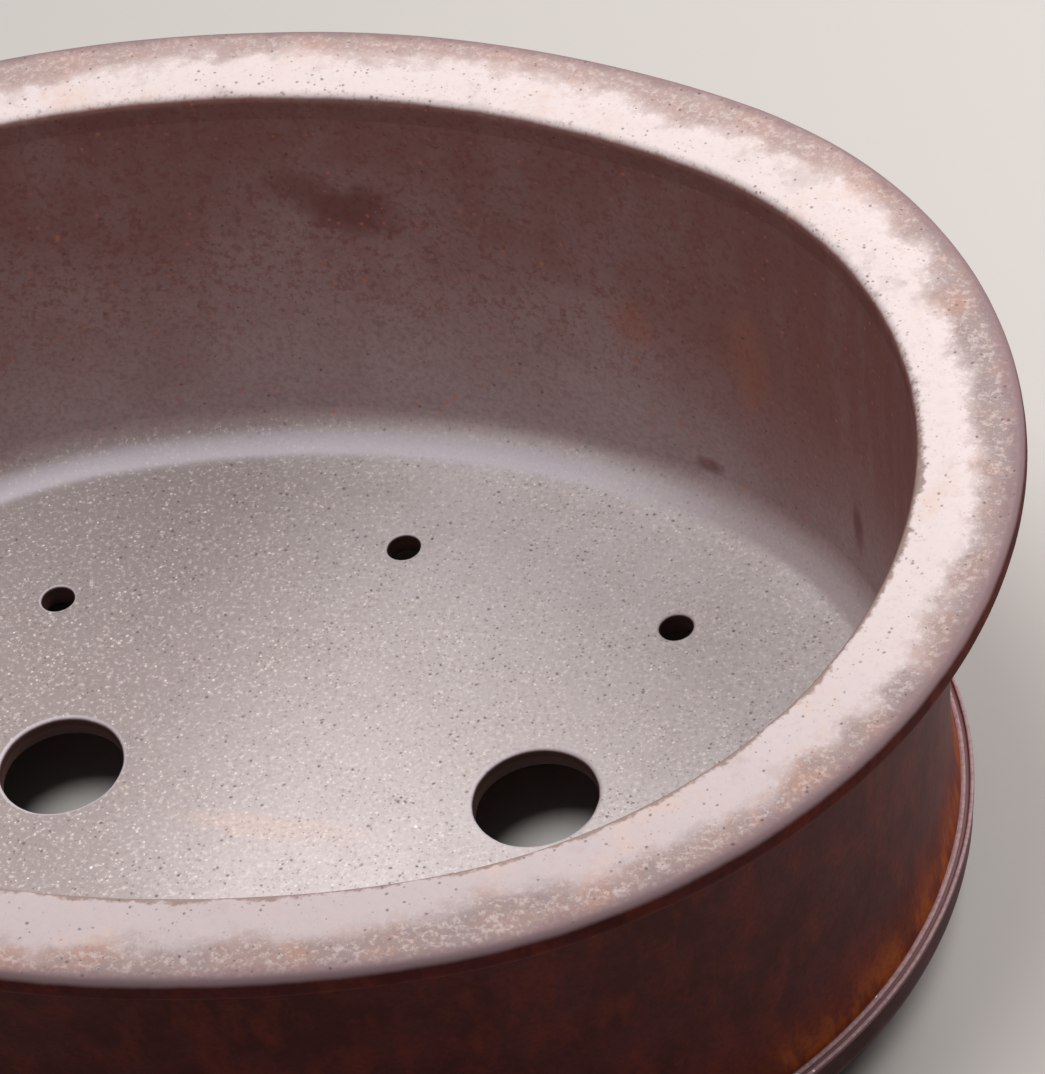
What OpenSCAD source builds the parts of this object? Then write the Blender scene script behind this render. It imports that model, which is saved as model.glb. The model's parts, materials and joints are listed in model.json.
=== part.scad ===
// Oval bonsai pot of unglazed purple clay, slab built: a floor slab with its holes, two wall
// strips, a thick flat lip, coils worked into the corners, a base band with two raised lines and
// four cloud feet. Millimetres. The origin is at the centre of the footprint, on the surface the
// feet stand on; +X runs along the pot's length and +Z up.

/* [Oval] */
// Radius of the two end arcs, at the lip's outer edge
end_radius = 141.5; // [136.5:0.5:146.5]
// How much larger the radius of the two side arcs is: more makes the pot longer
radius_step = 125; // [115:5:135]

/* [Lip] */
// Width of the lip, inside edge to outside edge
lip_width = 24.4; // [22.4:0.5:27.4]
// Thickness of the lip
lip_thick = 8; // [7:0.5:9]
// How far the lip's top is crowned
lip_crown = 0.8; // [0.4:0.2:1.2]

/* [Body] */
// Depth of the basin, lip top to floor
basin_depth = 105; // [90:1:120]
// Thickness of the wall strips
wall_thick = 7; // [6:0.5:8]
// How far the wall's foot stands in from its top
wall_lean = 11; // [9:0.5:13]
// Radius of the coil worked into the corner of wall and floor
corner_radius = 11; // [8:0.5:14]
// Thickness of the floor slab
floor_thick = 6; // [5:0.5:7]

/* [Holes] */
// Diameter of the two drain holes
drain_d = 30; // [24:1:34]
// Distance between the drain holes along the pot
drain_spacing = 118; // [110:1:126]
// How far the hand-cut drain holes stray from the centre line, one forward and one back
drain_stray = 2; // [0:0.5:3]
// Diameter of the six wiring holes
wire_d = 8.2; // [6:0.2:10]
// Distance of the left, middle and right wiring holes along the pot from its centre
wire_x = [-77, 5, 79]; // [-80:1:80]
// Distance between the front and back hole of each of those pairs
wire_gap = [102, 155, 118]; // [100:1:158]

/* [Base] */
// Height of the feet
foot_height = 10; // [8:1:12]
// Height of the base band, from the feet to the floor
band_height = 18; // [17:0.5:20]
// How far the base band's edge stands in from the lip's edge
band_inset = 23.6; // [22.6:0.5:25.6]
// Height of the band's two raised lines
line_height = 0.7; // [0.4:0.1:1]
// Half the length of a foot
foot_half = 28; // [24:1:32]

/* [Hidden] */
$fn = 96;

// Four-arc oval: end arcs about (+-end_x, 0), side arcs about (0, +-side_y). Every outline of the
// pot shares these centres, so each ring keeps an even width. The arcs meet on the line through
// both centres, whose direction has short decimals so that neighbouring arcs join exactly.
join = [0.352, 0.936];
turn = atan2(join[1], join[0]);
end_x = radius_step * join[0];
side_y = radius_step * join[1];
side_radius = end_radius + radius_step;

// Heights
band_z = foot_height;
floor_z = band_z + band_height;
rim_z = floor_z + basin_depth;
lip_z = rim_z - lip_thick;

// Offsets, measured outwards from the lip's outer edge
wall_top_in = -lip_width;
wall_foot_in = wall_top_in - wall_lean;
slab_edge = wall_foot_in + wall_thick + 0.5;
ledge_z = floor_z - 7; // the band's ledge, with its raised lines
shoulder_z = ledge_z + 0.5;
shoulder_o = -band_inset - 3; // where the flared outer face meets the ledge
flare_z = floor_z + 14; // where the flare starts
foot_flare = shoulder_o - wall_in(shoulder_z) - wall_thick;
band_round = 6; // radius under the band's outer face
band_foot_in = slab_edge - 11.5;
cove_radius = 9;

foot_out = -band_inset - 3;
foot_in = foot_out - 11;
foot_angle = 48; // where the feet sit on the end arcs

clay = "#6b4440";
clay_pale = "#9c8480";
clay_dark = "#4a2a26";

// Inner and outer faces of the wall at a height: leaning out evenly, flared outside at the foot
function wall_in(z) = wall_foot_in + wall_lean * (z - floor_z) / (lip_z - floor_z);
function wall_out(z) =
    wall_in(z) + wall_thick + foot_flare * pow(max(0, flare_z - z) / (flare_z - shoulder_z), 2);

function arc(centre, radius, from, to, steps) =
    [for (i = [0:steps]) let (a = from + (to - from) * i / steps) centre + radius * [cos(a), sin(a)]];

// Half of an end arc and half of a side arc. Children 0 and 1 are their profiles, x from the
// arc's own centre. Both start on the line where the arcs meet and run just past an axis.
module quarter() {
    translate([end_x, 0, 0]) rotate([0, 0, turn]) mirror([0, 1, 0])
        rotate_extrude(angle = turn + 3) children(0);
    translate([0, -side_y, 0]) rotate([0, 0, turn])
        rotate_extrude(angle = 93 - turn) children(1);
}

// Sweeps a profile round the oval. The profile's x is the offset outwards from the lip's edge and
// its y the height. halves: [0] is the back half, [1] the front half.
module oval_sweep(halves = [0, 1]) {
    for (x = [0, 1], y = halves)
        mirror([x, 0, 0]) mirror([0, y, 0]) quarter() {
            translate([end_radius, 0]) children();
            translate([side_radius, 0]) children();
        }
}

// Flat oval plate whose edge is offset from the lip's edge
module oval_plate(edge, thick) {
    overlap = 20;
    for (x = [0, 1], y = [0, 1])
        mirror([x, 0, 0]) mirror([0, y, 0]) quarter() {
            square([end_radius + edge, thick]);
            translate([radius_step - overlap, 0]) square([end_radius + edge + overlap, thick]);
        }
}

// One long strip of the wall, bevelled off square where it meets the other at the pot's ends
module wall_strip(half) color(clay) intersection() {
    oval_sweep([half]) wall_profile();
    translate([-300, half == 1 ? -300 : 0, 0]) cube([600, 300, rim_z]);
}

module wall_profile() {
    flare = [for (i = [0:5]) floor_z + (flare_z - floor_z) * i / 5];
    polygon(concat([for (z = flare) [wall_out(z), z]],
                   [[wall_out(lip_z), lip_z], [wall_in(lip_z), lip_z], [wall_in(floor_z), floor_z]]));
}

module floor_slab() color(clay_pale) difference() {
    translate([0, 0, floor_z - floor_thick]) oval_plate(slab_edge, floor_thick);
    for (s = [-1, 1])
        translate([s * drain_spacing / 2, s * drain_stray, 0]) floor_hole(drain_d);
    for (i = [0:2], s = [-1, 1])
        translate([wire_x[i], s * wire_gap[i] / 2, 0]) floor_hole(wire_d);
}

module floor_hole(d) {
    translate([0, 0, floor_z - floor_thick - 1]) cylinder(h = floor_thick + 2, d = d);
}

// Concave fillet that binds the wall to the floor
module corner_coil() color(clay_pale) oval_sweep() {
    lean = atan2(wall_lean, lip_z - floor_z);
    centre_z = floor_z + corner_radius;
    centre_o = wall_in(centre_z) - corner_radius / cos(lean);
    polygon(concat(arc([centre_o, centre_z], corner_radius, -90, -lean, 8), [[wall_foot_in, floor_z]]));
}

// Flat lip with a crowned top, a half-round outer edge and a softened inner edge
module lip_ring() color(clay_pale) oval_sweep() {
    nose = (lip_thick - lip_crown) / 2;
    inner = 2.5;
    middle = -lip_width / 2;
    half = lip_width / 2 - 3;
    crown = [for (i = [0:6]) let (o = half * (1 - i / 3))
             [middle + o, rim_z - lip_crown * pow(2 * o / lip_width, 2)]];
    polygon(concat(
        arc([-nose, lip_z + nose], nose, -90, 70, 9), crown,
        arc([-lip_width + inner, rim_z - lip_crown - inner], inner, 105, 180, 5),
        [[-lip_width, lip_z]]));
}

// Cove worked into the corner under the lip's overhang
module lip_cove_coil() color(clay) oval_sweep() {
    lean = atan2(wall_lean, lip_z - floor_z);
    centre_z = lip_z - cove_radius;
    centre_o = wall_out(centre_z) + cove_radius / cos(lean);
    polygon(concat(arc([centre_o, centre_z], cove_radius, 90, 180 - lean, 8), [[wall_out(lip_z), lip_z]]));
}

// Ring round and under the floor slab. It carries on the wall's flare to a ledge with two raised
// lines, and turns under below them.
module base_band() color(clay_dark) oval_sweep() {
    edge = -band_inset;
    polygon(concat(
        [[band_foot_in, band_z], [band_foot_in, floor_z - floor_thick],
         [slab_edge, floor_z - floor_thick], [slab_edge, floor_z]],
        [for (i = [0:3]) let (z = floor_z + (shoulder_z - floor_z) * i / 3) [wall_out(z), z]],
        raised_line(shoulder_o + 0.3, ledge_z + 0.2), raised_line(edge - 0.9, ledge_z),
        arc([edge - 0.9 - band_round, band_z + band_round], band_round, 8, -90, 7)));
}

function raised_line(o, z) =
    [[o, z], [o + 0.25, z + line_height], [o + 0.6, z + line_height], [o + 0.9, z - 0.1]];

// Outline of a foot seen from the front: a broad pad with a scroll at each end
module foot_outline() {
    pad = 4;
    pad_half = foot_half * 0.64;
    scroll = 3;
    difference() {
        union() {
            translate([-pad_half + pad, 0]) square([2 * (pad_half - pad), foot_height]);
            translate([-pad_half, pad]) square([2 * pad_half, foot_height - pad]);
            translate([-foot_half + scroll, foot_height - 2 * scroll])
                square([2 * (foot_half - scroll), 2 * scroll]);
            translate([-foot_half, foot_height - scroll]) square([2 * foot_half, scroll]);
            for (s = [-1, 1]) {
                translate([s * (pad_half - pad), pad]) circle(pad);
                translate([s * (foot_half - scroll), foot_height - scroll]) circle(scroll);
            }
        }
        for (s = [-1, 1])
            translate([s * (pad_half + 2), foot_height - 2 * scroll - 0.6]) circle(2);
    }
}

// Foot on an end arc, curved to follow the band above it
module foot(x, y) color(clay_dark)
    mirror([x, 0, 0]) mirror([0, y, 0]) translate([end_x, 0, 0]) rotate([0, 0, foot_angle])
        intersection() {
            rotate([0, 0, -20]) rotate_extrude(angle = 40) translate([end_radius, 0])
                polygon([[foot_in, 0], [foot_out - 1, 0], [foot_out, foot_height], [foot_in, foot_height]]);
            translate([end_radius + foot_out + 20, 0, 0])
                rotate([90, 0, -90]) linear_extrude(60) foot_outline();
        }

floor_slab();
wall_strip(1);  // wall_front
wall_strip(0);  // wall_back
corner_coil();
lip_ring();
lip_cove_coil();
base_band();
foot(1, 1);  // foot_front_left
foot(0, 1);  // foot_front_right
foot(1, 0);  // foot_back_left
foot(0, 0);  // foot_back_right
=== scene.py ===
import math
import json
from functools import partial
import bpy
import bmesh
from mathutils import Matrix, Vector, noise
from mathutils.geometry import delaunay_2d_cdt


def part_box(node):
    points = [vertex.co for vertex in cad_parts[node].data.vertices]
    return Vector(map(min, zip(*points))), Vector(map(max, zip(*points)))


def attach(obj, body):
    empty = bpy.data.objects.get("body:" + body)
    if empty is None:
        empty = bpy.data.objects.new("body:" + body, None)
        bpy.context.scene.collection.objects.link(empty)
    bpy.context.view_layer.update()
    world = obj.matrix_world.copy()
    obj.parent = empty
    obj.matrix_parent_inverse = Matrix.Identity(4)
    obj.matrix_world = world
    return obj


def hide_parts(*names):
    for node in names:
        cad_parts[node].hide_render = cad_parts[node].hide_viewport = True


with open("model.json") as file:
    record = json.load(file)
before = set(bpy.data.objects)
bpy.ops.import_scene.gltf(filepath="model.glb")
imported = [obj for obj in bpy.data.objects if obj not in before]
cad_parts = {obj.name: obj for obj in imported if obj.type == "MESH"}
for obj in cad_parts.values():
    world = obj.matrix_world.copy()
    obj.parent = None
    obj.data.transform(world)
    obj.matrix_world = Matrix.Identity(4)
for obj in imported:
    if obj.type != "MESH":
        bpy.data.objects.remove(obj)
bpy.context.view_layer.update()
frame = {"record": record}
mm = 0.001
noise.seed_set(7)  # or the clay would sway differently each run

# The pot is slab-built purple clay: lip, wall, floor, base band and feet are luted together and
# fired as one. Each visible piece below stands for its clay pieces in the frame.

lipLow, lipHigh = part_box("lip_ring")
slabLow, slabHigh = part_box("floor_slab")
bandLow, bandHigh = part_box("base_band")

rimTop = lipHigh.z / mm
lipUnder = lipLow.z / mm
floorTop = slabHigh.z / mm
floorUnder = slabLow.z / mm
bandUnder = bandLow.z / mm

# Four-arc oval: the arcs meet on a line with this direction, and every outline is concentric
halfLength = lipHigh.x / mm
halfWidth = lipHigh.y / mm
joinX, joinY = 0.352, 0.936
radiusStep = (halfLength - halfWidth) / (joinX + joinY - 1)
endRadius = halfLength - radiusStep * joinX
endX, sideY = radiusStep * joinX, radiusStep * joinY
sideRadius = endRadius + radiusStep
joinAngle = math.atan2(joinY, joinX)

# Offsets in mm run outwards from the lip's edge, so most are negative
slabEdge = slabHigh.x / mm - halfLength
bandFace = bandHigh.x / mm - halfLength

# How finely meshes are cut: stations round the oval, mm and degrees between points on a bend
fineness = dict(stations=900, bendStep=0.45, bendTurn=12)

# How hand-pressed clay strays from true: (size in mm, amount in mm, shift) of each swell, how much
# of it moves a point out or up, and how far the clay is set in and down to stay inside true size
handmade = dict(
    swells=[(70.0, 0.55, (0, 0, 0)), (17.0, 0.13, (31, 7, 5)), (4.5, 0.035, (3, 17, 45))],
    outShare=0.6, upShare=0.4, setIn=0.6, setDown=0.2, standShare=0.3, standIn=0.3,
)


# Points round the lip's edge as (point, outward direction), evenly spaced
def ovalStations(count):
    endArc = endRadius * joinAngle
    sideArc = sideRadius * (math.pi / 2 - joinAngle)
    quarter = endArc + sideArc
    stations = []
    for i in range(count):
        along = 4 * quarter * i / count
        turn, rest = divmod(along, 2 * quarter)  # half a turn goes over the back, then the front
        flip = 1 if turn == 0 else -1
        mirror = 1
        if rest > quarter:
            rest, mirror = 2 * quarter - rest, -1
        if rest <= endArc:
            angle = rest / endRadius
            centre, radius = (endX, 0.0), endRadius
        else:
            angle = joinAngle + (rest - endArc) / sideRadius
            centre, radius = (0.0, -sideY), sideRadius
        c, s = math.cos(angle), math.sin(angle)
        x, y = centre[0] + radius * c, centre[1] + radius * s
        stations.append(((flip * mirror * x, flip * y), (flip * mirror * c, flip * s)))
    return stations


# How far out from the lip's edge a point lies
def offsetAt(x, y):
    if abs(y) * joinX > (abs(x) - endX) * joinY:
        return math.hypot(x, abs(y) + sideY) - sideRadius
    return math.hypot(max(0, abs(x) - endX), y) - endRadius


# Turns (offset, height, radius) corners in mm into a smooth closed profile
def roundCorners(corners, step):
    points = []
    count = len(corners)
    for i in range(count):
        a, b, c = (Vector(corners[(i + k) % count][:2]) for k in (-1, 0, 1))
        radius = corners[i][2]
        if radius <= 0:
            points.append(b)
            continue
        u, v = (a - b).normalized(), (c - b).normalized()
        half = math.acos(max(-1, min(1, u.dot(v)))) / 2
        # A bend takes just under half of each side at most, so two neighbours never cross
        reach = min(radius / math.tan(half), (a - b).length * 0.499, (c - b).length * 0.499)
        radius = reach * math.tan(half)
        middle = b + (u + v).normalized() * (radius / math.sin(half))
        start, end = b + u * reach - middle, b + v * reach - middle
        sweep = start.angle(end)
        steps = max(2, int(sweep * radius / fineness["bendStep"]) + 1,
                    int(sweep / math.radians(fineness["bendTurn"])) + 1)
        for k in range(steps + 1):
            t = k / steps
            mixed = (start * math.sin((1 - t) * sweep) + end * math.sin(t * sweep)) / math.sin(sweep)
            points.append(middle + mixed)
    fine = []
    for i, p in enumerate(points):
        q = points[(i + 1) % len(points)]
        parts = max(1, int((q - p).length / step))
        fine += [p.lerp(q, k / parts) for k in range(parts)]
    return [(p.x, p.y) for p in fine]


# How far the clay strays at a point, in mm
def handwork(p):
    stray = Vector((0, 0, 0))
    for size, amount, shift in handmade["swells"]:
        stray += noise.noise_vector(p / size + Vector(shift)) * amount
    return stray


# A mesh point in metres, from its offset and height at a station
def place(offset, height, station):
    (x, y), (nx, ny) = station
    p = Vector((x + nx * offset, y + ny * offset, height))
    stray = handwork(p)
    out = stray.x - handmade["setIn"]
    if height <= bandUnder:
        out = stray.x * handmade["standShare"] - handmade["standIn"]
    up = stray.z * handmade["upShare"] - handmade["setDown"]
    p += Vector((nx, ny, 0)) * out * handmade["outShare"] + Vector((0, 0, up))
    return p * mm


# Quads between neighbouring closed loops of points
def joinLoops(bm, loops):
    for a, b in zip(loops, loops[1:]):
        for k in range(len(a)):
            bm.faces.new((a[k], a[(k + 1) % len(a)], b[(k + 1) % len(a)], b[k]))


def finishMesh(name, bm, sharp=50):
    bmesh.ops.recalc_face_normals(bm, faces=bm.faces)
    mesh = bpy.data.meshes.new(name)
    bm.to_mesh(mesh)
    bm.free()
    mesh.shade_smooth()
    mesh.set_sharp_from_angle(angle=math.radians(sharp))
    made = bpy.data.objects.new(name, mesh)
    bpy.context.scene.collection.objects.link(made)
    return made


# A closed profile swept round the oval. Each point keeps its offset, its height and whether it is
# on the outside, for the materials
def sweepRing(name, profile):
    bm = bmesh.new()
    across = bm.verts.layers.float.new("across")
    level = bm.verts.layers.float.new("level")
    outer = bm.verts.layers.float.new("outer")
    rings = []
    for station in ovalStations(fineness["stations"]):
        ring = []
        for offset, height in profile:
            v = bm.verts.new(place(offset, height, station))
            v[across], v[level] = offset, height
            v[outer] = 1.0 if offset > (wallIn(height) + wallOut(height)) / 2 else 0.0
            ring.append(v)
        rings.append(ring)
    joinLoops(bm, rings + rings[:1])
    return finishMesh(name, bm)


# Lip: a flat strap of clay laid on the wall's top, its outer edge paddled round
lip = dict(width=24.4, crown=0.8, crownRound=12, outerRound=4.6, underRound=3.2, innerRound=2.6)


def lipTop(offset):
    return rimTop - lip["crown"] * ((2 * offset + lip["width"]) / lip["width"]) ** 2


def makeLip():
    inner = -lip["width"]
    tops = [inner + lip["width"] * t for t in (0.2, 0.35, 0.5, 0.65, 0.8)]
    corners = [(inner, lipUnder, 0), (inner, lipTop(inner) + 0.3, lip["innerRound"])]
    corners += [(o, lipTop(o), lip["crownRound"]) for o in tops]
    corners += [(0, lipTop(0) + 0.3, lip["outerRound"]), (0, lipUnder, lip["underRound"])]
    made = sweepRing("lip", roundCorners(corners, 1.2))
    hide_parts("lip_ring")
    return made


# Wall: one strip each side, leaning out to the lip, its foot flared over the band
wall = dict(lean=11.0, thick=7.0, flareRise=14.0, cove=9.0, shoulderIn=3.0, shoulderDrop=6.5)


def wallIn(z):
    start = -lip["width"] - wall["lean"]
    return start + wall["lean"] * (z - floorTop) / (lipUnder - floorTop)


def wallOut(z):
    low, high = floorTop - wall["shoulderDrop"], floorTop + wall["flareRise"]
    flare = bandFace - wall["shoulderIn"] - wallIn(low) - wall["thick"]
    return wallIn(z) + wall["thick"] + flare * (max(0, high - z) / (high - low)) ** 2


def makeWall():
    rise = [wall["flareRise"] * t for t in (1, 0.8, 0.6, 0.4, 0.2, 0)]
    corners = [(wallIn(lipUnder), lipUnder, 0)]
    corners += [(wallOut(lipUnder) + wall["cove"] * 1.15, lipUnder, 0)]
    corners += [(wallOut(lipUnder), lipUnder, wall["cove"] * 1.1)]
    corners += [(wallOut(floorTop + r), floorTop + r, 0) for r in rise]
    corners += [(wallIn(floorTop), floorTop, 0)]
    made = sweepRing("basin_wall", roundCorners(corners, 2.5))
    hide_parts("wall_front", "wall_back", "lip_cove_coil")
    return made


# Floor: a rolled slab with cut holes, and the coil pressed into its corner. Its flat part is a
# grid of equal-sided triangles, and carries one offset of its own for the material
floor = dict(corner=11.0, drainRound=1.3, wireRound=0.8, gridStep=4.0, gridRise=0.866, flatMark=-60.0)


# (centre x, centre y, radius, edge rounding, points round it) of each hole in the frame's record
def holeList():
    holes = []
    for mount in frame["record"]["mounts"]:
        x, y, _ = (v / mm for v in mount["pos_m"])
        dims = mount["dims"]
        if mount["kind"] == "bore":
            holes.append((x, y, dims["r_mm"], floor["drainRound"], 96))
        elif mount["kind"] == "bolt_pattern":
            xs = dims.get("spacing_x_mm", 0) / 2  # a pattern of two leaves one spacing out
            ys = dims.get("spacing_y_mm", 0) / 2
            spots = {(sx * xs, sy * ys) for sx in (-1, 1) for sy in (-1, 1)}
            for dx, dy in sorted(spots):
                holes.append((x + dx, y + dy, dims["hole_r_mm"], floor["wireRound"], 48))
    return holes


# A hole's edge, this far out from it. Cut by hand in soft clay, it is a little out of round
def holeLoop(hole, out):
    x, y, radius, _, steps = hole
    loop = []
    for k in range(steps):
        angle = 2 * math.pi * k / steps
        c, s = math.cos(angle), math.sin(angle)
        spot = Vector((c, s, x * 0.37 + y * 0.11))
        cut = radius + noise.noise(spot * 1.3) * 0.018 * radius + noise.noise(spot * 5) * 0.006 * radius
        loop.append((x + (cut + out) * c, y + (cut + out) * s))
    return loop


def makeFloor():
    stations = ovalStations(fineness["stations"])
    count = len(stations)
    lean = math.atan2(wall["lean"], lipUnder - floorTop)
    coilZ = floorTop + floor["corner"]
    coilOffset = wallIn(coilZ) - floor["corner"] / math.cos(lean)
    holes = holeList()

    # Outline, holes and an even grid between them, as one flat triangulation
    points = [Vector((x + nx * coilOffset, y + ny * coilOffset)) for (x, y), (nx, ny) in stations]
    links = [(i, (i + 1) % count) for i in range(count)]
    for hole in holes:
        first, steps = len(points), hole[4]
        points += [Vector(p) for p in holeLoop(hole, hole[3])]
        links += [(first + k, first + (k + 1) % steps) for k in range(steps)]
    gap = floor["gridStep"]
    rows, columns = int(halfWidth / gap / floor["gridRise"]), int(halfLength / gap)
    for row in range(-rows, rows + 1):
        for column in range(-columns, columns + 1):
            x, y = (column + 0.5 * (row % 2)) * gap, row * gap * floor["gridRise"]
            clear = all(math.hypot(x - h[0], y - h[1]) > h[2] + h[3] + 0.6 * gap for h in holes)
            if offsetAt(x, y) < coilOffset - 0.6 * gap and clear:
                points.append(Vector((x, y)))
    flat, _, faces, origins, _, _ = delaunay_2d_cdt(points, links, [], 0, 1e-6)
    vertexOf = {o[0]: i for i, o in enumerate(origins) if o}
    bm = bmesh.new()
    across = bm.verts.layers.float.new("across")
    level = bm.verts.layers.float.new("level")

    def lay(x, y, z):
        p = Vector((x, y, z))
        up = handwork(p).z * handmade["upShare"] - handmade["setDown"]
        v = bm.verts.new((p + Vector((0, 0, up))) * mm)
        v[across], v[level] = floor["flatMark"], z
        return v

    def inHole(face, hole):
        x, y, radius, rounding, _ = hole
        return all(math.hypot(flat[i].x - x, flat[i].y - y) < radius + rounding + 0.5 for i in face)

    top = [lay(p.x, p.y, floorTop) for p in flat]
    under = [lay(p.x, p.y, floorUnder) for p in flat]
    for face in faces:
        if not any(inHole(face, hole) for hole in holes):
            bm.faces.new([top[i] for i in face])
            bm.faces.new([under[i] for i in reversed(face)])

    # Each hole goes down through a rounded edge, its cut side and another rounded edge
    first = count
    for hole in holes:
        rounding, steps = hole[3:]
        bends = [math.radians(a) for a in (22, 45, 68, 90)]
        levels = [(rounding * (1 - math.sin(b)), floorTop - rounding * (1 - math.cos(b))) for b in bends]
        levels += [(0, (floorTop + floorUnder) / 2)]
        levels += [(out, floorTop + floorUnder - z) for out, z in reversed(levels[:-1])]
        loops = [[top[vertexOf[first + k]] for k in range(steps)]]
        loops += [[lay(x, y, z) for x, y in holeLoop(hole, out)] for out, z in levels]
        loops += [[under[vertexOf[first + k]] for k in range(steps)]]
        joinLoops(bm, loops)
        first += steps

    # The corner coil sweeps up from the floor to the wall, then the slab's edge runs back under
    bends = [math.radians(a) for a in range(5, 85, 5)] + [math.pi / 2 - lean]
    rise = [(coilOffset + floor["corner"] * math.sin(b), coilZ - floor["corner"] * math.cos(b))
            for b in bends]
    rise += [(wallIn(coilZ) + 0.4, coilZ + 1.0), (wallIn(floorTop) + 0.4, floorTop),
             (slabEdge, floorTop - 0.1), (slabEdge, floorUnder)]
    loops = [[top[vertexOf[i]] for i in range(count)]]
    for offset, height in rise:
        loop = []
        for station in stations:
            v = bm.verts.new(place(offset, height, station))
            v[across], v[level] = offset, height
            loop.append(v)
        loops.append(loop)
    loops.append([under[vertexOf[i]] for i in range(count)])
    joinLoops(bm, loops)
    made = finishMesh("basin_floor", bm)
    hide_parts("floor_slab", "corner_coil")
    return made


# Base band: a ring with a narrow ledge on top, two raised lines and a rounded outer face
band = dict(ledgeDrop=7.0, line=0.7, lineWidth=1.0, faceIn=0.9, round=6.0, innerReach=11.5)


def makeBand():
    ledge = floorTop - band["ledgeDrop"]
    start, h, w = bandFace - wall["shoulderIn"] + 0.2, band["line"], band["lineWidth"]
    falls = [wall["shoulderDrop"] * t for t in (0, 0.25, 0.5, 0.75, 1)]
    corners = [(slabEdge - band["innerReach"], bandUnder, 0),
               (slabEdge - band["innerReach"], floorUnder, 0),
               (slabEdge, floorUnder, 0), (slabEdge, floorTop, 0)]
    corners += [(wallOut(floorTop - f), floorTop - f, 0) for f in falls]
    # Inner line, ledge, outer line, then the face
    corners += [(start + w * 0.1, ledge + h, 0.4), (start + w * 0.7, ledge + h, 0.4),
                (start + w, ledge + 0.05, 0.4), (bandFace - w * 1.05, ledge, 0.4),
                (bandFace - w * 0.85, ledge + h, 0.35), (bandFace - 0.05, ledge + h, 0.45),
                (bandFace, ledge - 0.5, 0.4), (bandFace - band["faceIn"], ledge - 1.2, 0.8),
                (bandFace - band["faceIn"], bandUnder, band["round"])]
    made = sweepRing("foot_band", roundCorners(corners, 1.5))
    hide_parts("base_band")
    return made


# Feet: four cloud feet under the ends, following the band's curve
foot = dict(half=28.0, pad=0.64, corner=4.0, scroll=3.0, notch=2.0, notchDrop=0.6, deep=11.0,
            edge=1.1, setBack=3.0, draft=1.0, angle=48.0)

# Each foot's name, its node in the frame and the quarter it stands in
feet = [("cloud_foot_br", "foot_back_right", 1, 1), ("cloud_foot_bl", "foot_back_left", -1, 1),
        ("cloud_foot_fr", "foot_front_right", 1, -1), ("cloud_foot_fl", "foot_front_left", -1, -1)]


# The foot's front outline in mm: a broad pad between two scrolls
def footOutline():
    pad, half, high = foot["half"] * foot["pad"], foot["half"], bandUnder
    r, s, n = foot["corner"], foot["scroll"], foot["notch"]
    padTurn = [math.radians(10 * k) for k in range(10)]
    notchTurn = [math.radians(180 - 15 * k) for k in range(1, 10)]
    scrollTurn = [math.radians(-80 + 16 * k) for k in range(6)]
    notchX, notchZ = pad + n, high - 2 * s - foot["notchDrop"]
    side = [(0, 0)]
    side += [(pad - r + r * math.sin(a), r - r * math.cos(a)) for a in padTurn]
    side += [(notchX + n * math.cos(a), notchZ + n * math.sin(a)) for a in notchTurn]
    side += [(half - s + s * math.cos(a), high - s + s * math.sin(a)) for a in scrollTurn]
    side += [(half, high)]
    return side + [(-u, z) for u, z in reversed(side[1:])]


# One whole number for a point in mm, in thousandths, to sort by
def pointOrder(p):
    return round(p.x * 1e3) * 10 ** 10 + round(p.y * 1e3) * 10 ** 5 + round(p.z * 1e3)


def makeFoot(name, node, sx, sy):
    bm = bmesh.new()
    level = bm.verts.layers.float.new("level")
    face = bm.faces.new([bm.verts.new((u, 0, z)) for u, z in footOutline()])
    grown = bmesh.ops.extrude_face_region(bm, geom=[face])
    for v in grown["geom"]:
        if isinstance(v, bmesh.types.BMVert):
            v.co.y = foot["deep"]
    depths = [(e, [v.co.y for v in e.verts]) for e in bm.edges]
    rims = [e for e, ys in depths if max(ys) < 0.01 or min(ys) > foot["deep"] - 0.01]
    bmesh.ops.bevel(bm, geom=rims, offset=foot["edge"], segments=4, profile=0.5, affect="EDGES",
                    clamp_overlap=True)
    bmesh.ops.triangulate(bm, faces=[f for f in bm.faces if len(f.verts) > 4])
    long = [e for e in bm.edges if e.calc_length() > 3]
    bmesh.ops.subdivide_edges(bm, edges=long, cuts=4, use_grid_fill=True)
    # Subdivision hands points back in no fixed order, so they are put in one here
    bm.verts.sort(key=lambda v: pointOrder(v.co))
    bm.faces.sort(key=lambda f: pointOrder(f.calc_center_median()))
    outer = endRadius + bandFace - foot["setBack"]
    for v in bm.verts:
        u, depth, z = v.co
        radius = outer - depth - foot["draft"] * (1 - z / bandUnder) * (1 - depth / foot["deep"])
        angle = math.radians(foot["angle"]) + u / outer
        p = Vector((endX + radius * math.cos(angle), radius * math.sin(angle), min(z, bandUnder)))
        p.x, p.y = p.x * sx, p.y * sy
        stray = handwork(p) * 0.5  # pressed in a mould, so a foot strays less than the walls
        p += Vector((stray.x, stray.y, 0)) * handmade["outShare"]
        v.co = p * mm
        v[level] = z
    made = finishMesh(name, bm, 40)
    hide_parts(node)
    return made


pieces = [makeLip()]
print("lip made")
pieces.append(makeWall())
print("wall made")
pieces.append(makeFloor())
print("floor made")
pieces.append(makeBand())
print("band made")
for name, node, sx, sy in feet:
    pieces.append(makeFoot(name, node, sx, sy))
print("feet made")
for piece in pieces:
    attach(piece, "root")


# An sRGB hex colour as linear red, green, blue, alpha
def colour(hexCode):
    values = [int(hexCode[i:i + 2], 16) / 255 for i in (1, 3, 5)]
    return tuple(v / 12.92 if v <= 0.04045 else ((v + 0.055) / 1.055) ** 2.4 for v in values) + (1.0,)


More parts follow.
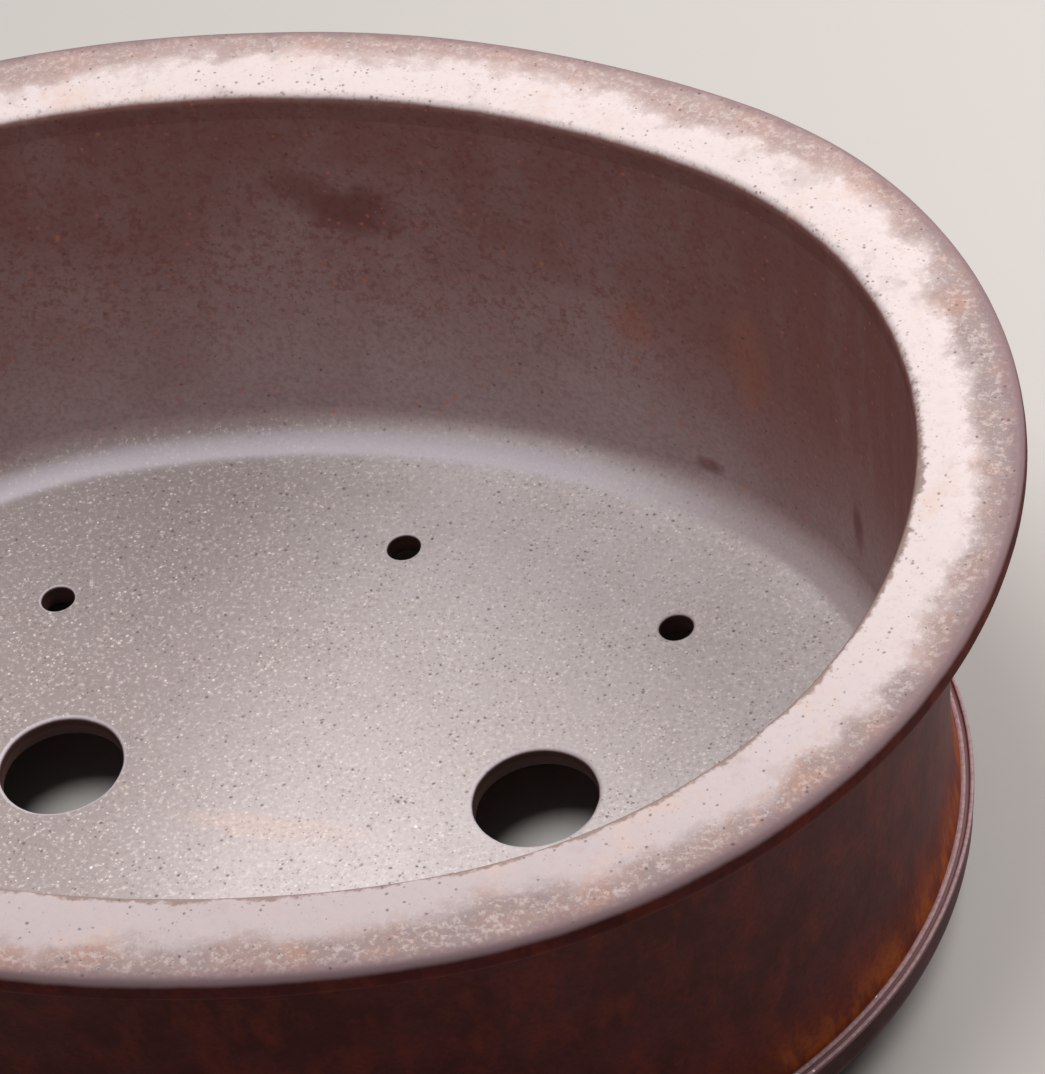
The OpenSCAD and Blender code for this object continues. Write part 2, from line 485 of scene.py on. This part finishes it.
# Which sockets a node's inputs fill, in order, and what it is usually set to
usual = {
    "Mix": dict(sockets=(0, 6, 7), out=2, data_type="RGBA"),
    "MapRange": dict(sockets=(0, 1, 2, 3, 4), interpolation_type="SMOOTHSTEP"),
    "Math": dict(sockets=(0, 1, 2)),
    "VectorMath": dict(sockets=(0, 1, 2)),
    "SeparateXYZ": dict(sockets=(0,)),
    "SeparateColor": dict(sockets=(0,)),
    "Mapping": dict(sockets=("Vector", "Scale", "Location", "Rotation")),
    "TexNoise": dict(sockets=("Vector", "Scale", "Detail", "Roughness")),
    "TexVoronoi": dict(sockets=("Vector", "Scale")),
    "Bump": dict(sockets=("Height", "Distance", "Strength", "Normal")),
    "Attribute": dict(out=2),
    "TexCoord": dict(out=3),
    "NewGeometry": dict(out=1),
}


def setInputs(made, inputs):
    for key, value in inputs.items():
        if isinstance(value, bpy.types.NodeSocket):
            made.id_data.links.new(value, made.inputs[key])
        else:
            made.inputs[key].default_value = value


# Adds a node with its settings, its inputs each linked or set, and gives back one output
def addNode(tree, kind, *inputs, **settings):
    settings = {**usual.get(kind, {}), **settings}
    sockets, out = settings.pop("sockets", ()), settings.pop("out", 0)
    made = tree.nodes.new("ShaderNode" + kind)
    for key, value in settings.items():
        setattr(made, key, value)
    setInputs(made, dict(zip(sockets, inputs)))
    return made.outputs[out]


# Texture scale at which a pattern repeats about every size mm
def perMm(size):
    return 1000.0 / size


def startMaterial(name):
    made = bpy.data.materials.new(name)
    made.use_nodes = True
    add = partial(addNode, made.node_tree)
    return made, add, add("TexCoord")


# Sand in the clay: a share of the cells of this size in mm hold a grain, each of its own size
def grains(add, spot, size, share, seed):
    bent = add("TexNoise", spot, perMm(size * 0.7), 2.0, 0.5, out=1)
    moved = add("VectorMath", bent, (size * 0.4 * mm,) * 3, spot, operation="MULTIPLY_ADD")
    moved = add("VectorMath", moved, (seed, seed * 0.7, seed * 1.3), operation="ADD")
    near = add("TexVoronoi", moved, perMm(size))
    lot = add("TexVoronoi", moved, perMm(size), out=1)
    reach = add("Math", add("SeparateColor", lot, out=1), 0.28, 0.16, operation="MULTIPLY_ADD")
    body = add("MapRange", near, reach, 0.05, 0.0, 1.0)
    chosen = add("Math", add("SeparateColor", lot), share, operation="LESS_THAN")
    return add("Math", body, chosen, operation="MULTIPLY")


# One soft stain round a point, in mm, with an uneven edge
def smear(add, spot, centre, reach, share):
    far = add("VectorMath", spot, tuple(v * mm for v in centre), operation="SUBTRACT")
    far = add("VectorMath", far, tuple(1000.0 / v for v in reach), operation="MULTIPLY")
    uneven = add("TexNoise", spot, perMm(7), 6.0, 0.68, out=1)
    far = add("VectorMath", uneven, (1.1, 1.1, 1.1), far, operation="MULTIPLY_ADD")
    far = add("VectorMath", far, (0.55, 0.55, 0.55), operation="SUBTRACT")
    length = add("VectorMath", far, operation="LENGTH", out=1)
    return add("MapRange", length, 1.15, 0.35, 0.0, share)


# Fine grain and shallow dents, which hand-worked clay shows wherever light grazes it
def clayGrain(made, add, spot, base, rough, grainMm, depth, shine=0.35):
    fine = add("TexNoise", spot, perMm(grainMm), 3.0, 0.6)
    dents = add("TexNoise", spot, perMm(9), 3.0, 0.5)
    first = add("Bump", fine, depth * mm, 0.8)
    second = add("Bump", dents, 0.25 * mm, 0.5, first)
    shader = made.node_tree.nodes["Principled BSDF"]
    setInputs(shader, {"Base Color": base, "Roughness": rough, "Normal": second, "IOR": 1.5})
    shader.inputs["Specular IOR Level"].default_value = shine


# Marks on the basin's back wall: (centre in mm, reach in mm, strength, colour)
basinStains = [
    ((-8, 122, 98), (16, 12, 9), 0.7, "#6f3d37"),
    ((-22, 122, 105), (9, 12, 6), 0.45, "#6f3d37"),
    ((94, 100, 78), (8, 9, 20), 0.32, "#b36f51"),
    ((62, 110, 76), (7, 8, 9), 0.4, "#b36f51"),
    ((79, 102, 40), (5, 6, 3), 0.6, "#6f3d37"),
    ((124, 74, 51), (3, 3, 10), 0.6, "#663732"),
]


# Purple clay inside the basin, scraped smooth and dry: purple brown, redder and darker near the rim and
# at the right end, partly its own tone and partly painted shade, and paler and greyer low down, partly
# grey haze and partly painted light bounced off the floor
def basinClay(add, spot):
    x = add("SeparateXYZ", spot)
    z = add("SeparateXYZ", spot, out=2)
    wide = add("TexNoise", spot, perMm(70), 5.0, 0.55)
    patch = add("TexNoise", spot, perMm(20), 6.0, 0.62)
    scraped = add("TexNoise", add("Mapping", spot, (1.0, 1.0, 0.18)), perMm(9), 5.0, 0.6)
    fine = add("TexNoise", spot, perMm(1.3), 4.0, 0.7)

    cloudy = add("MapRange", wide, 0.35, 0.65, 0.0, 1.0)
    base = add("Mix", cloudy, colour("#92716d"), colour("#a48a88"))
    base = add("Mix", add("MapRange", patch, 0.42, 0.7, 0.0, 0.5), base, colour("#8d5e5a"))
    # Redder and darker near the rim and at the right end: partly the clay's own redder tone, partly
    # painted shade on the wall's top and on the unlit right end
    rightEnd = add("MapRange", x, 0.03, 0.16, 0.0, 0.85)
    nearRim = add("MapRange", z, 0.08, 0.13, 0.0, 0.5)
    red = add("Math", rightEnd, nearRim, operation="MAXIMUM")
    red = add("Math", red, add("MapRange", scraped, 0.3, 0.6, 0.5, 1.0), operation="MULTIPLY")
    base = add("Mix", red, base, colour("#865148"))
    speckled = add("TexNoise", spot, perMm(2.6), 4.0, 0.7)
    base = add("Mix", add("MapRange", speckled, 0.48, 0.66, 0.0, 0.55), base, colour("#8a5148"))
    # Paler and greyer low down: partly a grey haze on the clay, partly painted light bounced up off the
    # floor
    low = add("MapRange", z, 0.085, 0.03, 0.0, 0.9)
    greyed = add("Math", low, add("MapRange", wide, 0.3, 0.7, 0.5, 1.0), operation="MULTIPLY")
    base = add("Mix", greyed, base, colour("#b6a7a8"))
    for centre, reach, share, tint in basinStains:
        base = add("Mix", smear(add, spot, centre, reach, share), base, colour(tint))
    base = add("Mix", add("MapRange", fine, 0.35, 0.7, 0.0, 0.3), base, colour("#735657"))

    # Orange flecks of iron in patches, and a few dark specks
    patchy = add("MapRange", patch, 0.38, 0.56, 0.15, 0.8)
    flecks = add("Math", grains(add, spot, 2.0, 0.2, 5.3), patchy, operation="MULTIPLY")
    base = add("Mix", flecks, base, colour("#cf7b5a"))
    specks = add("Math", grains(add, spot, 1.6, 0.08, 9.7), 0.6, operation="MULTIPLY")
    return add("Mix", specks, base, colour("#473535"))


# Purple clay outside, burnished with a horn paddle: dark red brown with upright streaks, partly its own
# colour and partly painted shade under the lip, with a painted orange glow low down where the flared
# foot turns up to the light
def outerClay(add, spot, level):
    patch = add("TexNoise", spot, perMm(22), 6.0, 0.62)
    upright = add("Mapping", spot, (1.0, 1.0, 0.45))
    streak = add("TexNoise", upright, perMm(8), 5.0, 0.62)
    fine = add("TexNoise", spot, perMm(1.5), 4.0, 0.65)
    # The dark red brown base is partly the burnished clay's own colour and partly painted shade, darker
    # than the same clay in the basin to stand for the shade under the lip
    cloudy = add("MapRange", patch, 0.35, 0.65, 0.0, 1.0)
    base = add("Mix", cloudy, colour("#4a1a16"), colour("#592526"))
    base = add("Mix", add("MapRange", streak, 0.45, 0.68, 0.0, 0.8), base, colour("#6e2a1e"))
    # Painted light: an orange glow low on the wall, brightest where the flared foot turns up to the
    # light
    paintedGlow = add("MapRange", level, 48.0, 22.0, 0.0, 1.0)
    paintedGlow = add("Math", paintedGlow, add("MapRange", streak, 0.3, 0.6, 0.45, 1.0), operation="MULTIPLY")
    base = add("Mix", paintedGlow, base, colour("#78301c"))
    flare = add("MapRange", level, 36.0, 23.0, 0.0, 1.0)
    flare = add("Math", flare, add("MapRange", streak, 0.44, 0.62, 0.1, 0.7), operation="MULTIPLY")
    base = add("Mix", flare, base, colour("#a5541f"))
    return add("Mix", add("MapRange", fine, 0.4, 0.7, 0.0, 0.35), base, colour("#2d1110"))


# Purple clay lip under a pale kiln bloom: near white on top, darker to the front with painted shade,
# rubbed through in a ragged, mottled strip along the outer edge and a thin brown one along the inner, a
# mauve of dust and painted sheen over the outer edge, bare clay with painted shade where it turns under
def bloomedLip():
    made, add, spot = startMaterial("PurpleClayPaleBloom")
    across = add("Attribute", attribute_name="across")
    level = add("Attribute", attribute_name="level")
    x = add("SeparateXYZ", spot)
    y = add("SeparateXYZ", spot, out=1)
    upward = add("SeparateXYZ", add("NewGeometry"), out=2)
    wide = add("TexNoise", spot, perMm(60), 4.0, 0.55)
    ragged = add("TexNoise", spot, perMm(11), 8.0, 0.66)
    fine = add("TexNoise", spot, perMm(1.5), 5.0, 0.72)

    # Bloom, darker to the front with painted shade, with peach and grey patches
    bloom = add("Mix", wide, colour("#dacdcb"), colour("#e3d7d6"))
    bloom = add("Mix", add("MapRange", y, 0.03, -0.13, 0.0, 1.0), bloom, colour("#c3b6b7"))
    peach = add("TexNoise", spot, perMm(16), 5.0, 0.62)
    bloom = add("Mix", add("MapRange", peach, 0.52, 0.72, 0.0, 0.5), bloom, colour("#d9bcae"))
    greyed = add("TexNoise", spot, perMm(13), 6.0, 0.66)
    bloom = add("Mix", add("MapRange", greyed, 0.55, 0.7, 0.0, 0.45), bloom, colour("#b5a6a3"))

    # The outer strip is some 4 to 13 mm wide, widest at the back right, and crumbles into the bloom
    strip = add("Math", ragged, 15.0, across, operation="MULTIPLY_ADD")
    strip = add("Math", wide, 26.0, strip, operation="MULTIPLY_ADD")
    strip = add("Math", add("MapRange", x, 0.1, 0.16, 0.0, 1.2), strip, operation="ADD")
    strip = add("Math", smear(add, spot, (98, 124, 133), (34, 24, 24), 5.0), strip, operation="ADD")
    strip = add("MapRange", strip, 6.5, 15.5, 0.0, 1.0)
    strip = add("Math", strip, 1.0, operation="SUBTRACT")
    strip = add("Math", fine, 2.0, strip, operation="MULTIPLY_ADD")
    strip = add("MapRange", strip, -0.05, 1.0, 0.0, 1.0)
    clouded = add("MapRange", greyed, 0.42, 0.58, 0.0, 1.0)
    mottle = add("Mix", clouded, colour("#988887"), colour("#a28a84"))
    mottle = add("Mix", add("MapRange", peach, 0.5, 0.66, 0.0, 0.7), mottle, colour("#b08a7d"))
    mottle = add("Mix", add("MapRange", y, 0.05, 0.13, 0.0, 0.45), mottle, colour("#bfa59e"))
    crumbs = add("TexNoise", spot, perMm(1.5), 4.0, 0.75)
    mottle = add("Mix", add("MapRange", crumbs, 0.46, 0.66, 0.0, 0.65), mottle, colour("#d2c3c0"))
    mottle = add("Mix", add("MapRange", crumbs, 0.46, 0.34, 0.0, 0.4), mottle, colour("#7d6867"))
    top = add("Mix", strip, bloom, mottle)
    # Mauve over the outer edge: partly dust on the clay, partly a painted sheen where the edge rounds
    # over
    dustAndSheen = add("Mix", wide, colour("#8f7573"), colour("#7f6a73"))
    edge = add("Math", ragged, 6.0, across, operation="MULTIPLY_ADD")
    top = add("Mix", add("MapRange", edge, -2.0, 1.8, 0.0, 0.8), top, dustAndSheen)

    # The inner strip is 2 to 5 mm of rubbed brown, full at the front and broken at the back
    inner = add("Math", ragged, -7.0, across, operation="MULTIPLY_ADD")
    inner = add("MapRange", inner, -24.4, -27.2, 0.0, 1.0)
    front = add("Math", add("MapRange", y, 0.09, -0.03, 0.25, 1.0), inner, operation="MULTIPLY")
    front = add("Math", front, 0.9, operation="SUBTRACT")
    front = add("Math", fine, 1.8, front, operation="MULTIPLY_ADD")
    top = add("Mix", add("MapRange", front, 0.2, 0.75, 0.0, 0.9), top, colour("#968079"))

    # Dark and brown specks of iron and sand, thickest along the inner edge
    crowd = add("MapRange", add("TexNoise", spot, perMm(17), 4.0, 0.6), 0.4, 0.6, 0.08, 0.6)
    inward = add("MapRange", across, -12.0, -22.0, 0.35, 1.0)
    crowd = add("Math", inward, crowd, operation="MULTIPLY")
    dots = add("Math", grains(add, spot, 1.5, crowd, 3.1), 0.7, operation="MULTIPLY")
    top = add("Mix", dots, top, colour("#4c3e3c"))
    dots = add("Math", grains(add, spot, 1.0, 0.16, 7.7), 0.4, operation="MULTIPLY")
    top = add("Mix", dots, top, colour("#7d6a66"))

    # Turning over the outer edge the bloom thins to a mauve of dust and painted sheen, then to bare clay
    # with painted shade
    tilt = add("Math", ragged, 0.5, operation="SUBTRACT")
    tilt = add("Math", tilt, 0.35, upward, operation="MULTIPLY_ADD")
    side = add("Mix", add("MapRange", tilt, 0.98, 0.78, 0.0, 0.9), top, dustAndSheen)
    # Painted shade: where the edge turns under, the lip takes the dark outer clay, partly bare clay and
    # partly shade under the lip
    turned = add("MapRange", tilt, 0.6, 0.1, 0.0, 1.0)
    side = add("Mix", turned, side, outerClay(add, spot, level))
    turned = add("MapRange", tilt, 0.85, 0.45, 0.0, 1.0)
    well = add("Mix", turned, top, basinClay(add, spot))
    base = add("Mix", add("MapRange", across, -14.0, -10.0, 0.0, 1.0), well, side)
    rough = add("MapRange", tilt, 0.3, 0.95, 0.75, 0.6)
    clayGrain(made, add, spot, base, rough, 0.8, 0.05, 0.12)
    return made


# Purple clay wall, the same paste left two ways: dry and scraped in the basin, burnished outside,
# so it is dull within and takes a low waxy shine without
def burnishedWall():
    made, add, spot = startMaterial("BurnishedPurpleClay")
    outer = add("Attribute", attribute_name="outer")
    level = add("Attribute", attribute_name="level")
    base = add("Mix", outer, basinClay(add, spot), outerClay(add, spot, level))
    rough = add("MapRange", outer, 0.0, 1.0, 0.55, 0.5)
    clayGrain(made, add, spot, base, rough, 0.9, 0.06, 0.1)
    return made


# Floor of the same clay, sanded and left raw: warm grey bloom full of pale and dark sand, with painted
# light to the front and painted shade to the left, smooth and with a painted bluish highlight where the
# corner coil rounds up, and painted shade on the coil at the right end
def sandyFloor():
    made, add, spot = startMaterial("RawPurpleClaySandy")
    across = add("Attribute", attribute_name="across")
    level = add("Attribute", attribute_name="level")
    x = add("SeparateXYZ", spot)
    y = add("SeparateXYZ", spot, out=1)
    upward = add("SeparateXYZ", add("NewGeometry"), out=2)
    wide = add("TexNoise", spot, perMm(110), 4.0, 0.5)
    patch = add("TexNoise", spot, perMm(26), 6.0, 0.62)
    fine = add("TexNoise", spot, perMm(1.2), 4.0, 0.7)

    # Bloom, paler to the front with painted light, greyer to the left with painted shade, with a scuff
    # between the drain holes
    cloudy = add("MapRange", wide, 0.3, 0.7, 0.0, 1.0)
    base = add("Mix", cloudy, colour("#c3bab9"), colour("#d0c9c9"))
    base = add("Mix", add("MapRange", y, 0.08, -0.12, 0.0, 0.75), base, colour("#e9e4e5"))
    base = add("Mix", add("MapRange", patch, 0.42, 0.7, 0.0, 0.25), base, colour("#ac9f9c"))
    base = add("Mix", add("MapRange", x, 0.02, -0.06, 0.0, 0.8), base, colour("#968b89"))
    scuff = smear(add, spot, (-2, -15, 28), (28, 4.5, 30), 0.35)
    base = add("Mix", scuff, base, colour("#e6c8bc"))
    base = add("Mix", add("MapRange", fine, 0.52, 0.68, 0.0, 0.5), base, colour("#f8ece6"))
    base = add("Mix", add("MapRange", fine, 0.46, 0.3, 0.0, 0.5), base, colour("#988682"))

    # Sand lies thickest towards the left back and the right end
    left = add("MapRange", x, -0.02, -0.14, 0.0, 0.3)
    right = add("MapRange", x, 0.03, 0.12, 0.0, 0.22)
    drift = add("TexNoise", spot, perMm(48), 5.0, 0.62)
    drift = add("MapRange", drift, 0.38, 0.6, 0.12, 0.6)
    clump = add("TexNoise", spot, perMm(7), 5.0, 0.7)
    clump = add("MapRange", clump, 0.38, 0.62, 0.1, 1.7)
    sandy = add("Math", left, right, operation="ADD")
    sandy = add("Math", sandy, drift, operation="ADD")
    sandy = add("Math", sandy, clump, operation="MULTIPLY")
    pale = add("Math", grains(add, spot, 1.3, sandy, 1.7), 0.85, operation="MULTIPLY")
    base = add("Mix", pale, base, colour("#fbf0e8"))
    dark = add("Math", grains(add, spot, 1.2, sandy, 9.1), 0.75, operation="MULTIPLY")
    base = add("Mix", dark, base, colour("#796a66"))
    spread = add("MapRange", add("TexNoise", spot, perMm(10), 5.0, 0.7), 0.4, 0.62, 0.03, 0.45)
    dark = add("Math", grains(add, spot, 1.7, spread, 4.4), 0.8, operation="MULTIPLY")
    base = add("Mix", dark, base, colour("#5c4f4d"))
    mica = add("MapRange", grains(add, spot, 2.4, 0.012, 6.6), 0.5, 0.8, 0.0, 1.0)
    base = add("Mix", mica, base, colour("#ffffff"))

    # The coil turns up into the wall: a painted bluish highlight at the back left, painted shade at the
    # right end
    rising = add("MapRange", upward, 0.995, 0.93, 0.0, 1.0)
    paintedCornerHighlight = add("Math", rising, add("MapRange", upward, 0.5, 0.8, 0.0, 1.0), operation="MULTIPLY")
    paintedCornerHighlight = add("Math", paintedCornerHighlight, add("MapRange", x, 0.1, 0.03, 0.15, 1.0), operation="MULTIPLY")
    # Painted shade on the coil at the right end
    rising = add("MapRange", upward, 0.999, 0.9, 0.0, 0.75)
    paintedCornerShade = add("Math", rising, add("MapRange", x, 0.03, 0.1, 0.0, 1.0), operation="MULTIPLY")
    base = add("Mix", paintedCornerShade, base, colour("#9b8787"))
    base = add("Mix", add("Math", paintedCornerHighlight, 0.75, operation="MULTIPLY"), base, colour("#d2ccd6"))
    base = add("Mix", add("MapRange", upward, 0.7, 0.2, 0.0, 1.0), base, basinClay(add, spot))

    # Cut sides of the holes and the slab's underside show the dark clay
    flat = add("MapRange", across, -58.0, -59.0, 0.0, 1.0)
    cut = add("Math", flat, add("MapRange", upward, 0.8, 0.3, 0.0, 1.0), operation="MULTIPLY")
    base = add("Mix", cut, base, colour("#462f2a"))
    base = add("Mix", add("MapRange", level, 26.0, 25.0, 0.0, 1.0), base, colour("#573e39"))
    rough = add("MapRange", paintedCornerHighlight, 0.0, 1.0, 0.62, 0.45)
    clayGrain(made, add, spot, base, rough, 0.8, 0.09)
    return made


# The same clay trimmed for the band and feet: dark red brown below, its two raised lines pale mauve with
# a painted highlight along their tops, with small chips showing white
def trimmedBand():
    made, add, spot = startMaterial("TrimmedPurpleClay")
    level = add("Attribute", attribute_name="level")
    patch = add("TexNoise", spot, perMm(18), 6.0, 0.62)
    fine = add("TexNoise", spot, perMm(1.2), 4.0, 0.7)
    ledge = floorTop - band["ledgeDrop"]
    cloudy = add("MapRange", patch, 0.35, 0.65, 0.0, 1.0)
    base = add("Mix", cloudy, colour("#3f2222"), colour("#553134"))
    top = add("MapRange", level, ledge - 0.8, ledge - 0.2, 0.0, 1.0)
    base = add("Mix", top, base, colour("#815e60"))
    # Painted highlight along the tops of the two raised lines
    crest = add("MapRange", level, ledge + 0.2, ledge + 0.6, 0.0, 1.0)
    paintedCrestHighlight = add("Math", crest, add("MapRange", fine, 0.3, 0.6, 0.45, 1.0), operation="MULTIPLY")
    base = add("Mix", paintedCrestHighlight, base, colour("#c3a5a8"))
    chips = add("Math", crest, grains(add, spot, 1.8, 0.06, 2.9), operation="MULTIPLY")
    base = add("Mix", add("MapRange", chips, 0.3, 0.7, 0.0, 1.0), base, colour("#ffffff"))
    above = add("MapRange", level, ledge + 0.72, ledge + 0.85, 0.0, 1.0)
    base = add("Mix", above, base, outerClay(add, spot, level))
    clayGrain(made, add, spot, base, 0.46, 0.8, 0.05, 0.12)
    return made


looks = {
    "lip": bloomedLip(),
    "basin_wall": burnishedWall(),
    "basin_floor": sandyFloor(),
    "foot_band": trimmedBand(),
}
for piece in pieces:
    piece.data.materials.append(looks.get(piece.name, looks["foot_band"]))  # feet match the band
print("materials made")

# Stage: a plain pale floor
bpy.ops.mesh.primitive_plane_add(size=30)
ground = bpy.context.object
ground.name = "ground"
pale = bpy.data.materials.new("PaleFloor")
pale.use_nodes = True
setInputs(pale.node_tree.nodes["Principled BSDF"], {"Base Color": colour("#c9c6c2"), "Roughness": 0.7})
ground.data.materials.append(pale)

# Lights: a broad softbox over the back right, and one above that fills from the front
lights = [
    dict(name="key", at=(0.6, 0.75, 0.98), to=(0.02, 0, 0.05), size=0.9, power=14.3, tint="#fffaf8"),
    dict(name="above", at=(-0.05, -0.1, 1.9), to=(0, 0, 0.05), size=0.9, power=20, tint="#fffcfb"),
]
for spec in lights:
    data = bpy.data.lights.new(spec["name"], "AREA")
    data.shape = "DISK"
    data.size = spec["size"]
    data.energy = spec["power"]
    data.color = colour(spec["tint"])[:3]
    lamp = bpy.data.objects.new(spec["name"], data)
    bpy.context.scene.collection.objects.link(lamp)
    lamp.location = spec["at"]
    aim = Vector(spec["to"]) - Vector(spec["at"])
    lamp.rotation_euler = aim.to_track_quat("-Z", "Y").to_euler()
world = bpy.data.worlds.new("Studio")
world.use_nodes = True
setInputs(world.node_tree.nodes["Background"], {"Color": colour("#d8dade"), "Strength": 0.12})
bpy.context.scene.world = world
bpy.context.scene.view_settings.view_transform = "Standard"
print("stage and lights made")

# Camera: looking down into the pot over its near side, rolled a little. Its place is measured
# from the top of the floor slab
shot = dict(at=(0.4981, -0.9400, 1.114), forward=(-0.2934, 0.6469, -0.7039), roll=13.02, lens=217.9)
eye = bpy.data.cameras.new("camera")
eye.lens = shot["lens"]
eye.sensor_width = 36
eye.clip_start = 0.05
camera = bpy.data.objects.new("camera", eye)
bpy.context.scene.collection.objects.link(camera)
look = Vector(shot["forward"]).normalized()
right = look.cross(Vector((0, 0, 1))).normalized()
up = right.cross(look)
roll = math.radians(shot["roll"])
cameraRight = right * math.cos(roll) - up * math.sin(roll)
cameraUp = right * math.sin(roll) + up * math.cos(roll)
turned = Matrix((cameraRight, cameraUp, -look)).transposed().to_4x4()
camera.matrix_world = Matrix.Translation(Vector(shot["at"]) + Vector((0, 0, floorTop * mm))) @ turned
bpy.context.scene.camera = camera
